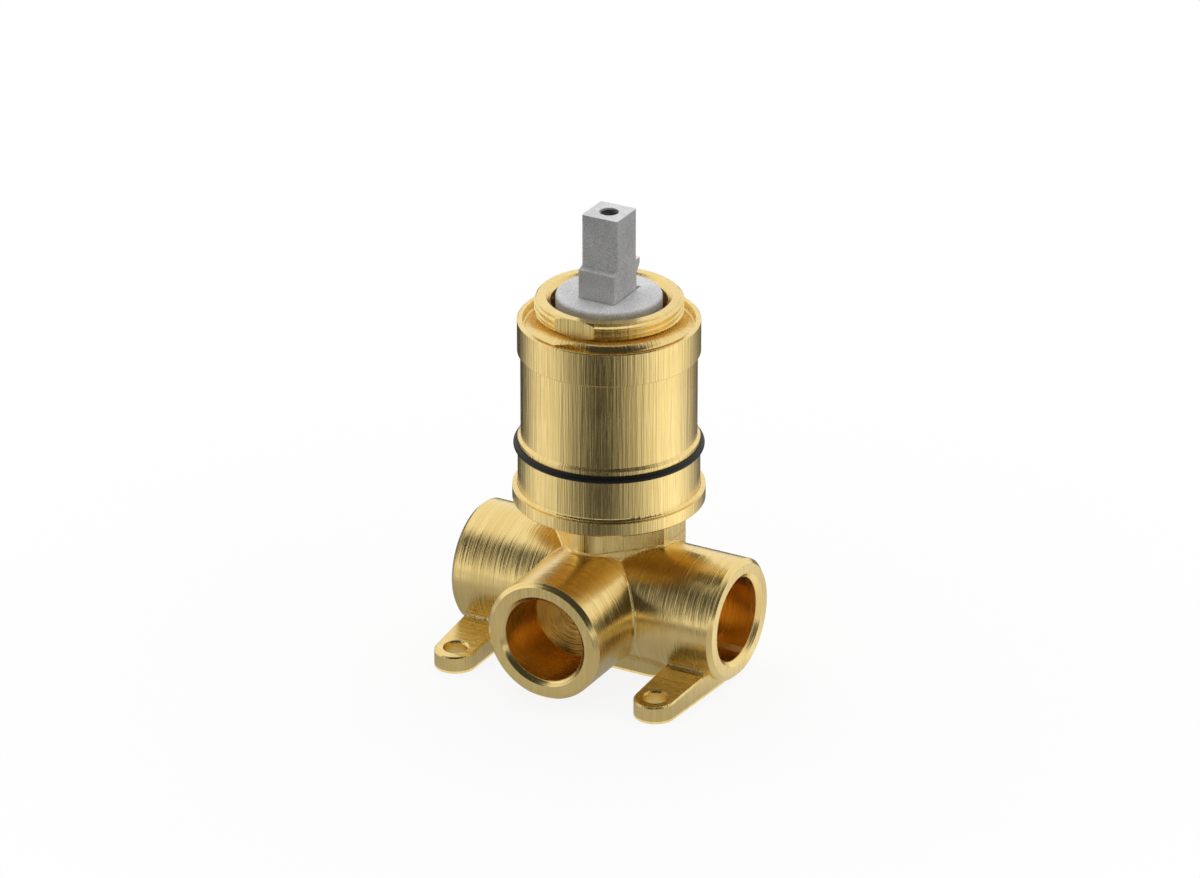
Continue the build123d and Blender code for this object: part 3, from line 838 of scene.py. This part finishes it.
@dataclass(frozen=True)
class ThreadGroove:
    """The groove of a right-handed screw thread, wider at one side than at the other. Sizes in mm."""

    inner_r: float
    outer_r: float
    inner_width: float
    outer_width: float
    pitch: float
    low: float
    high: float
    steps: int

    def _section(self) -> bpy.types.Object:
        """Draws the groove's section upright beside the axis, at the height where it starts.

        Returns:
            The section.
        """
        depth = (self.outer_r - self.inner_r) * MM
        select_only()
        bpy.ops.mesh.primitive_plane_add(size=1.0, location=(0, 0, 0))
        section = bpy.context.active_object
        edit_all()
        bpy.ops.transform.rotate(value=pi / 2, orient_axis="X", center_override=(0, 0, 0))
        bpy.ops.transform.translate(value=(0.5, 0, 0))
        bpy.ops.transform.resize(value=(depth, 1, self.inner_width * MM), center_override=(0, 0, 0))
        bpy.ops.object.mode_set(mode="OBJECT")
        for vertex in section.data.vertices:
            vertex.select = vertex.co.x > depth / 2
        for line in (*section.data.edges, *section.data.polygons):
            line.select = all(section.data.vertices[index].select for index in line.vertices)
        bpy.ops.object.mode_set(mode="EDIT")
        widen = self.outer_width / self.inner_width
        bpy.ops.transform.resize(value=(1, 1, widen), center_override=(0, 0, 0))
        bpy.ops.mesh.select_all(action="SELECT")
        bpy.ops.transform.translate(value=(self.inner_r * MM, 0, self.low * MM))
        bpy.ops.object.mode_set(mode="OBJECT")
        return section

    def cutter(self) -> bpy.types.Object:
        """Winds the groove as a closed solid, to be cut from a piece.

        Returns:
            The cutter.
        """
        cutter = self._section()
        rise = self.high - self.low
        turns = rise / self.pitch
        count = int(self.steps * turns)
        apply_modifier(cutter, "SCREW", angle=2 * pi * turns, screw_offset=rise * MM, steps=count,
                       render_steps=count, axis="Z", use_smooth_shade=False)
        close_mesh(cutter, 0.0005 * MM)
        return cutter


def milling_block(size: Triple, middle: Triple) -> bpy.types.Object:
    """A block that mills a flat.

    Args:
        size: its size in mm.
        middle: its middle in mm.

    Returns:
        The block.
    """
    select_only()
    bpy.ops.mesh.primitive_cube_add(size=MM, location=(0, 0, 0))
    cutter = bpy.context.active_object
    edit_all()
    bpy.ops.transform.resize(value=size, center_override=(0, 0, 0))
    bpy.ops.transform.translate(value=[part * MM for part in middle])
    bpy.ops.object.mode_set(mode="OBJECT")
    return cutter


def cut_away(piece: bpy.types.Object, cutters: list[bpy.types.Object]) -> None:
    """Cuts tools from a piece and clears them away.

    Args:
        piece: the piece.
        cutters: the closed solids to cut from it.
    """
    for cutter in cutters:
        apply_modifier(piece, "BOOLEAN", operation="DIFFERENCE", solver="EXACT", object=cutter)
        bpy.data.objects.remove(cutter)


@dataclass
class ThreadedNut:
    """The turned brass nut, with the screw thread of its neck cut for real. Sizes in mm."""

    finish: bpy.types.Material
    ring_d: float = 46.6
    ring_height: float = 8.9
    rim_width: float = 1.4
    recess_depth: float = 2.3
    recess_fillet: float = 0.5
    cove_r: float = 3.0
    relief_d: float = 35.4
    relief_height: float = 0.3
    thread_d: float = 38.0
    relief_depth: float = 1.3
    thread_length: float = 3.1
    thread_depth: float = 0.92
    groove_overshoot: float = 0.12
    pitch: float = 1.5
    crest_width: float = 0.19
    flank_deg: float = 30.0
    neck_bore_d: float = 29.7
    skirt_bore_d: float = 35.8
    skirt_d: float = 41.0
    skirt_length: float = 9.8
    ledge_below_ring_top: float = 4.84
    outer_bevel: float = 0.83
    inner_bevel: float = 1.162
    small_bevel: float = 0.25
    rim_bevel: float = 0.1
    flat_distance: float = 18.1
    flat_half_width: float = 5.5
    mill_above_floor: float = 0.02
    mill_above_top: float = 1.02
    steps: int = 192
    cove_steps: int = 10
    fillet_steps: int = 5

    def _heights(self) -> tuple[float, float]:
        """The top of the neck and the top of the ring, from the frame.

        Returns:
            Both heights in mm.
        """
        low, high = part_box("cartridge_nut")
        return high.z / MM, low.z / MM + self.skirt_length + self.ring_height

    def _outline(self) -> list[Corner]:
        """The nut's outline, round from the top of the neck's bore.

        Returns:
            Radius and height of each corner.
        """
        top, ring_top = self._heights()
        bottom = ring_top - self.ring_height
        floor = ring_top - self.recess_depth
        ledge = ring_top - self.ledge_below_ring_top
        bore, relief, ring = self.neck_bore_d / 2, self.relief_d / 2, self.ring_d / 2
        neck, skirt, skirt_bore = self.thread_d / 2, self.skirt_d / 2, self.skirt_bore_d / 2
        rim, small = ring - self.rim_width, self.small_bevel
        cove_top, cove_out = floor + self.cove_r, relief + self.cove_r
        thread_low = cove_top + self.relief_height + self.relief_depth
        cove = quarter_round((relief, cove_top), (cove_out, floor), (cove_out, cove_top), self.cove_steps)
        corner_r = rim - self.recess_fillet
        corner_z = floor + self.recess_fillet
        corner = quarter_round((corner_r, floor), (rim, corner_z), (corner_r, corner_z), self.fillet_steps)
        return [
            (bore, top - self.inner_bevel),
            (bore + self.inner_bevel, top),
            (neck - self.outer_bevel, top),
            (neck, top - self.outer_bevel),
            (neck, thread_low),
            (relief, cove_top + self.relief_height),
            *cove,
            *corner,
            (rim, ring_top - self.rim_bevel),
            (rim + self.rim_bevel, ring_top),
            (ring - small, ring_top),
            (ring, ring_top - small),
            (ring, bottom + small),
            (ring - small, bottom),
            (skirt, bottom),
            (skirt, bottom - self.skirt_length),
            (skirt_bore, bottom - self.skirt_length),
            (skirt_bore, ledge),
            (bore, ledge),
        ]

    def _thread(self) -> ThreadGroove:
        """The groove between the turns of the thread, from the relief to above the neck.

        Returns:
            The groove.
        """
        top, _ = self._heights()
        crest = self.thread_d / 2
        low = top - self.outer_bevel - self.thread_length - self.pitch / 2
        slope = tan(radians(self.flank_deg))
        crest_gap = self.pitch - self.crest_width
        inner = crest_gap - 2 * self.thread_depth * slope
        outer = crest_gap + 2 * self.groove_overshoot * slope
        return ThreadGroove(crest - self.thread_depth, crest + self.groove_overshoot, inner, outer,
                            self.pitch, low, top + self.pitch / 2, self.steps)

    def _flats(self, inwards: float = 0.0) -> list[bpy.types.Object]:
        """The blocks that mill the two flats of the neck.

        Args:
            inwards: how much deeper than the flats they reach.

        Returns:
            The front block and the back block.
        """
        top, ring_top = self._heights()
        floor = ring_top - self.recess_depth
        inner = self.flat_distance - inwards
        reach = (self.ring_d / 2 - self.rim_width - self.recess_fillet) - inner
        low = floor + self.mill_above_floor
        size = (2 * self.flat_half_width, reach, top + self.mill_above_top - low)
        middle_y = inner + reach / 2
        middle_z = low + size[2] / 2
        return [milling_block(size, (0, side * middle_y, middle_z)) for side in (-1, 1)]

    def build(self) -> None:
        """Models the nut, whose grooves end at its flats, and lets it stand for its node."""
        nut = turned_ring(self._outline(), self.steps)
        groove = self._thread().cutter()
        cut_away(groove, self._flats(self.thread_depth))
        cut_away(nut, [groove, *self._flats()])
        finish_piece(nut, "threaded_nut", self.finish, Body.CASTING, "cartridge_nut")


@dataclass
class ThreadedLever:
    """The grey lever, with the thread of its screw hole cut for real. Sizes in mm."""

    finish: bpy.types.Material
    core_d: float = 4.2
    core_overlap: float = 0.1
    thread_d: float = 5.0
    pitch: float = 0.8
    crest_width: float = 0.12
    root_width: float = 0.1
    thread_below_top: float = 0.4
    thread_length: float = 9.8
    flat_angle: float = 0.2
    steps: int = 40

    def build(self) -> None:
        """Copies the lever's solid, cuts the thread of its hole and lets it stand for its node."""
        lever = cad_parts["lever"].copy()
        lever.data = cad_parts["lever"].data.copy()
        bpy.context.scene.collection.objects.link(lever)
        close_mesh(lever)
        edit_all()
        bpy.ops.mesh.dissolve_limited(angle_limit=radians(self.flat_angle))
        bpy.ops.object.mode_set(mode="OBJECT")
        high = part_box("lever")[1].z / MM - self.thread_below_top
        groove = ThreadGroove(self.core_d / 2 - self.core_overlap, self.thread_d / 2,
                              self.pitch - self.crest_width, self.root_width, self.pitch,
                              high - self.thread_length, high, self.steps)
        cut_away(lever, [groove.cutter()])
        finish_piece(lever, "threaded_lever", self.finish, Body.LEVER, "lever")


@dataclass
class Casting:
    """The brass casting and the rubber ring in its groove."""

    brass: bpy.types.Material
    rubber: bpy.types.Material

    def build(self) -> None:
        """Dresses the casting and its ring."""
        dress("valve_body", self.brass)
        dress("barrel_oring", self.rubber)


@dataclass
class Cartridge:
    """Everything in the barrel but the head and the lever's pin."""

    plastic: bpy.types.Material
    rubber: bpy.types.Material
    ceramic: bpy.types.Material
    limit: bpy.types.Material

    def build(self) -> None:
        """Dresses the cartridge's pieces by what they are made of."""
        pieces = {
            self.plastic: ("nut_thrust_ring", "cartridge_housing", "cartridge_base", "disc_carrier",
                           "head_bearing_ring"),
            self.rubber: ("housing_oring", "base_seal_cold", "base_seal_hot", "base_seal_outlet",
                          "disc_gasket", "carrier_oring", "head_oring"),
            self.ceramic: ("fixed_disc", "moving_disc"),
            self.limit: ("hot_limit_ring",),
        }
        for material, nodes in pieces.items():
            for node in nodes:
                dress(node, material)


@dataclass
class Controls:
    """The head that turns and the pin that holds the lever in it."""

    head: bpy.types.Material
    steel: bpy.types.Material

    def build(self) -> None:
        """Dresses the head and the pin."""
        dress("control_head", self.head)
        dress("lever_pin", self.steel)


def for_metal_only(made: bpy.types.Object, name: str) -> Graph:
    """Gives a panel an empty material and hides it from all but glossy reflections.

    Args:
        made: the panel's plane.
        name: its name.

    Returns:
        The material's graph.
    """
    made.name = name
    material, graph = new_material(name)
    made.data.materials.append(material)
    for ray in ("camera", "diffuse", "shadow", "transmission", "volume_scatter"):
        setattr(made, f"visible_{ray}", False)
    return graph


@dataclass(frozen=True)
class Panel:
    """A flat panel that only reflections see, as a photographer sets up to shape metal.

    Directions are in degrees, the azimuth counted from the camera's own, and lengths in metres.
    """

    name: str
    azimuth: float
    elevation: float
    distance: float
    width: float
    height: float
    brightness: float


@dataclass(frozen=True)
class Lamp:
    """A square soft box that lights the object and doesn't show in the metal.

    Directions are in degrees, the azimuth counted from the camera's own, lengths in metres and the
    power in watts.
    """

    name: str
    azimuth: float
    elevation: float
    distance: float
    size: float
    power: float


@dataclass
class Studio:
    """The floor, the lamps, the panels and the camera. Angles in degrees, lengths in metres.

    The card's shades are azimuths with a brightness, near the foot and from card_step outwards.
    """

    camera_azimuth: float = 28.91
    camera_elevation: float = 24.92
    camera_distance: float = 1.73
    target_z: float = 58.59 * MM
    target_right: float = 2.288 * MM
    pixels_per_metre: float = 3930.0
    photo_width: float = 1200.0
    sensor: float = 36.0
    clip: Span = (0.1, 100.0)
    floor_size: float = 12.0
    floor_z: float = -0.01 * MM
    floor_white: float = 0.93
    floor_bounce: float = 0.30
    floor_glow: float = 0.88
    floor_fade: Span = (0.07, 0.22)
    world_diffuse: float = 0.29
    card_size: float = 1.3
    card_z: float = 0.6 * MM
    card_hole: Span = (0.026, 0.042)
    card_centre: float = 0.36
    card_step: Span = (0.075, 0.105)
    card_near_shades: tuple[Span, ...] = (
        (-180, 0.25), (-130, 0.34), (-90, 0.4), (-60, 0.5), (0, 0.48), (30, 0.5), (60, 0.85), (82, 1.0),
        (119, 0.5), (150, 0.2), (180, 0.2),
    )
    card_far_shades: tuple[Span, ...] = (
        (-180, 0.02), (-141, 0.05), (-126, 0.27), (-114, 0.6), (-102, 0.95), (-84, 1.05), (-65, 0.72),
        (-45, 0.36), (-30, 0.16), (-16, 0.03), (-5, 0.04), (6, 0.12), (21, 0.33), (35, 0.52), (48, 0.85),
        (65, 1.15), (82, 1.3), (100, 1.05), (119, 0.6), (135, 0.25), (152, 0.08), (180, 0.02),
    )
    flag: Panel = Panel("front flag", 0, 46, 0.9, 2.5, 1.45, 0.05)
    lamps: tuple[Lamp, ...] = (
        Lamp("back box", 180, 58, 1.4, 2.6, 30.0),
        Lamp("right box", 75, 35, 1.3, 0.9, 0.9),
    )

    def _towards(self, azimuth: float, elevation: float) -> Vector:
        """The direction to a place at an azimuth and elevation.

        Args:
            azimuth: the azimuth, counted from the camera's own.
            elevation: the height above the horizon.

        Returns:
            The direction.
        """
        turn, rise = radians(self.camera_azimuth + azimuth), radians(elevation)
        return Vector((sin(turn) * cos(rise), -cos(turn) * cos(rise), sin(rise)))

    def camera(self) -> None:
        """Places the camera where the photograph was taken from."""
        back = self._towards(0, self.camera_elevation)
        right = self._towards(90, 0)
        target = Vector((0, 0, self.target_z)) - self.target_right * right
        data = bpy.data.cameras.new("camera")
        data.sensor_width = self.sensor
        data.lens = self.pixels_per_metre * self.camera_distance / self.photo_width * self.sensor
        data.clip_start, data.clip_end = self.clip
        made = bpy.data.objects.new("camera", data)
        bpy.context.scene.collection.objects.link(made)
        made.location = target + back * self.camera_distance
        made.rotation_euler = (-back).to_track_quat("-Z", "Y").to_euler()
        bpy.context.scene.camera = made
        LOG.info("camera with a %.1f mm lens", data.lens)

    def world(self) -> None:
        """A plain white room that the camera and the metal see, and that lights the object softly."""
        made = bpy.data.worlds.new("studio")
        bpy.context.scene.world = made
        made.use_nodes = True
        graph = Graph(made.node_tree)
        strength = graph.span(graph.seen(), 0.0, 1.0, self.world_diffuse, 1.0)
        graph.glow(strength, "ShaderNodeBackground", "ShaderNodeOutputWorld")

    def floor(self) -> None:
        """A plain pale floor under the foot and the lugs, with a soft glow that thins the shadow."""
        select_only()
        bpy.ops.mesh.primitive_plane_add(size=self.floor_size, location=(0, 0, self.floor_z))
        made = bpy.context.active_object
        made.name = "floor"
        material, graph = new_material("pale floor")
        seen = graph.seen()
        matt = graph.node("ShaderNodeBsdfDiffuse")
        shades = [(shade,) * 3 for shade in (self.floor_bounce, self.floor_white)]
        graph.feed(matt.inputs["Color"], graph.blend_colour(seen, *shades))
        glow = graph.node("ShaderNodeEmission")
        mixed = graph.node("ShaderNodeMixShader")
        place = graph.part(graph.node("ShaderNodeTexCoord").outputs["Object"])
        share = graph.span(graph.reach(*place[:2]), *self.floor_fade, self.floor_glow, 1.0)
        graph.feed(mixed.inputs[0], graph.math("MULTIPLY", seen, share))
        graph.feed(mixed.inputs[1], matt.outputs[0])
        graph.feed(mixed.inputs[2], glow.outputs[0])
        graph.finish(mixed.outputs[0])
        made.data.materials.append(material)

    def hang(self, lamp: Lamp) -> None:
        """Hangs a soft box that points at the barrel.

        Args:
            lamp: the lamp.
        """
        data = bpy.data.lights.new(lamp.name, "AREA")
        data.shape = "SQUARE"
        data.size = lamp.size
        data.energy = lamp.power
        made = bpy.data.objects.new(lamp.name, data)
        bpy.context.scene.collection.objects.link(made)
        towards = self._towards(lamp.azimuth, lamp.elevation)
        made.location = Vector((0, 0, self.target_z)) + towards * lamp.distance
        made.rotation_euler = (-towards).to_track_quat("-Z", "Y").to_euler()
        made.visible_glossy = False

    def stand(self, panel: Panel) -> None:
        """Stands a panel up facing the barrel.

        Args:
            panel: the panel.
        """
        select_only()
        towards = self._towards(panel.azimuth, panel.elevation)
        place = Vector((0, 0, self.target_z)) + towards * panel.distance
        turn = towards.to_track_quat("Z", "Y").to_euler()
        bpy.ops.mesh.primitive_plane_add(size=1.0, location=place, rotation=turn)
        made = bpy.context.active_object
        made.scale = (panel.width, panel.height, 1.0)
        for_metal_only(made, panel.name).glow(panel.brightness)

    def card(self) -> None:
        """Lays a graded card round the foot, so that the round brass shows dark and bright bands."""
        select_only()
        bpy.ops.mesh.primitive_plane_add(size=self.card_size, location=(0, 0, self.card_z))
        graph = for_metal_only(bpy.context.active_object, "graded card")
        place = graph.part(graph.node("ShaderNodeTexCoord").outputs["Object"])
        ahead, aside = (graph.total({place[0]: way.x, place[1]: way.y})
                        for way in (self._towards(0, 0), self._towards(90, 0)))
        away = graph.reach(*place[:2])
        turn = graph.span(graph.math("ARCTAN2", aside, ahead), -pi, pi, 0.0, 1.0)
        near = graph.round_about(turn, self.card_near_shades)
        far = graph.round_about(turn, self.card_far_shades)
        shade = graph.span(away, *self.card_step, near, far)
        graph.glow(graph.span(away, *self.card_hole, self.card_centre, shade))

    def build(self) -> None:
        """Sets up the whole studio."""
        self.camera()
        self.world()
        self.floor()
        for lamp in self.lamps:
            self.hang(lamp)
        self.card()
        self.stand(self.flag)


CAST_BRASS = BrushedBrass("brushed cast brass", Brushing.CASTING)
TURNED_BRASS = BrushedBrass("brushed turned brass", Brushing.UPRIGHT)
BLACK_RUBBER = GrainedSurface("black rubber", (0.008, 0.008, 0.009), 0.38, shade=0.2, specular=0.25)
WHITE_PLASTIC = GrainedSurface("white moulded plastic", (0.78, 0.78, 0.76), 0.45, grain_strength=0.15)
RED_PLASTIC = GrainedSurface("red moulded plastic", (0.55, 0.03, 0.02), 0.42, grain_strength=0.15)
CERAMIC = GrainedSurface("lapped ceramic", (0.86, 0.84, 0.79), 0.18, grain_strength=0.05, shade=0.04)
HEAD_GREY = GrainedSurface("grey grained head", (0.66, 0.66, 0.66), 0.62)
# The lever's screw hole has painted shade.
LEVER_GREY = GrainedSurface("grey grained lever", (0.66, 0.66, 0.66), 0.6, painted_shade_hole_r=2.55 * MM)
STEEL = GrainedSurface("ground steel", (0.55, 0.55, 0.56), 0.3, metallic=1.0, grain_strength=0.1)


def main() -> None:
    """Builds the studio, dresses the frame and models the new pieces."""
    logging.basicConfig(level=logging.INFO, format="%(message)s")
    rubber = BLACK_RUBBER.material()
    Studio().build()
    Casting(CAST_BRASS.material(), rubber).build()
    ThreadedNut(TURNED_BRASS.material()).build()
    Cartridge(WHITE_PLASTIC.material(), rubber, CERAMIC.material(), RED_PLASTIC.material()).build()
    ThreadedLever(LEVER_GREY.material()).build()
    Controls(HEAD_GREY.material(), STEEL.material()).build()
    bpy.context.scene.view_settings.view_transform = "Standard"


if __name__ == "__main__":
    main()
